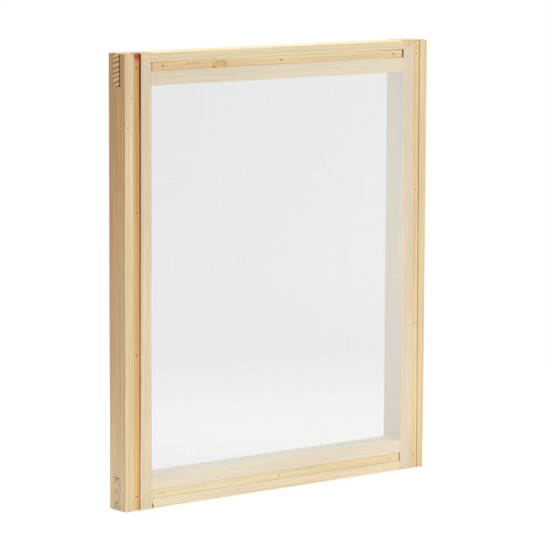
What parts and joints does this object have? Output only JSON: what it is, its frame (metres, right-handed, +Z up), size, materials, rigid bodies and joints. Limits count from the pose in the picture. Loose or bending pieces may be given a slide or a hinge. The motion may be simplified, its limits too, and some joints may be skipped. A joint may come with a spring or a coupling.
{
  "type": "screen printing frame",
  "caption": "Rectangular softwood printing screen with bridle-jointed corners and a white polyester mesh held in front grooves by battens and brads.",
  "frame": {"origin": "middle of the bottom edge, halfway through the timber", "axes": "+X across the frame, +Y from the print face to the back face, +Z up"},
  "size_m": [0.36, 0.0251, 0.42],
  "materials": {
    "timber": "bare sanded pine",
    "batten": "bare planed pine",
    "dark_batten": "bare resinous pine",
    "mesh": "white open-weave polyester",
    "brad": "dull dark steel"
  },
  "bodies": {
    "root": {"left_stile": "timber", "right_stile": "timber", "top_rail": "timber", "bottom_rail": "timber", "screen_mesh": "mesh", "left_batten": "dark_batten", "right_batten": "batten", "top_batten": "batten", "bottom_batten": "batten", "left_batten_brads": "brad", "right_batten_brads": "brad", "top_batten_brads": "brad", "bottom_batten_brads": "brad"}
  },
  "joints": []
}
